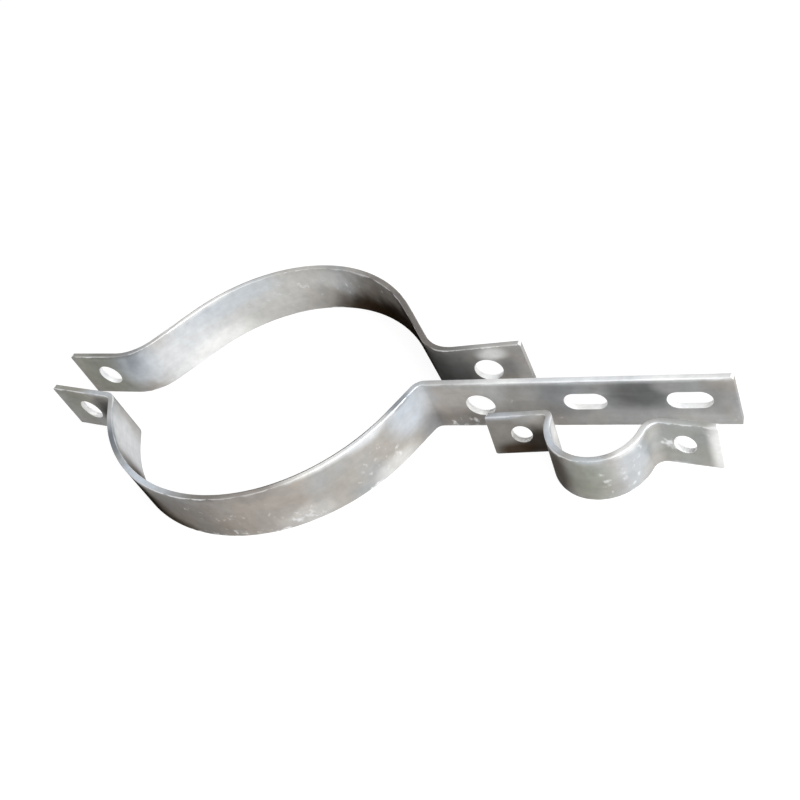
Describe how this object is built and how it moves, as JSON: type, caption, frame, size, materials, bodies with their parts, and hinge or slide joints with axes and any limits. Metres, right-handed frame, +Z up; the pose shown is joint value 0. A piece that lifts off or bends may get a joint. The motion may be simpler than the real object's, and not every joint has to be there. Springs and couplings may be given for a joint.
{
  "type": "pole cable clamp",
  "caption": "Pole cable clamp: two flat-bar bands that grip a pole, the front one with a slotted arm, and a small saddle that holds the cable.",
  "frame": {"origin": "middle of the footprint of the three straps, on the plane that their lower edges stand on", "axes": "+X along the slotted arm towards its free end, +Y from the arm towards the rear band, +Z up across the bar's width"},
  "size_m": [0.4884, 0.2062, 0.04],
  "materials": {
    "galvanised_steel": "satin, hot-dip zinc, mottled"
  },
  "bodies": {
    "root": {"front_band": "galvanised_steel", "rear_band": "galvanised_steel", "cable_saddle": "galvanised_steel"}
  },
  "joints": []
}
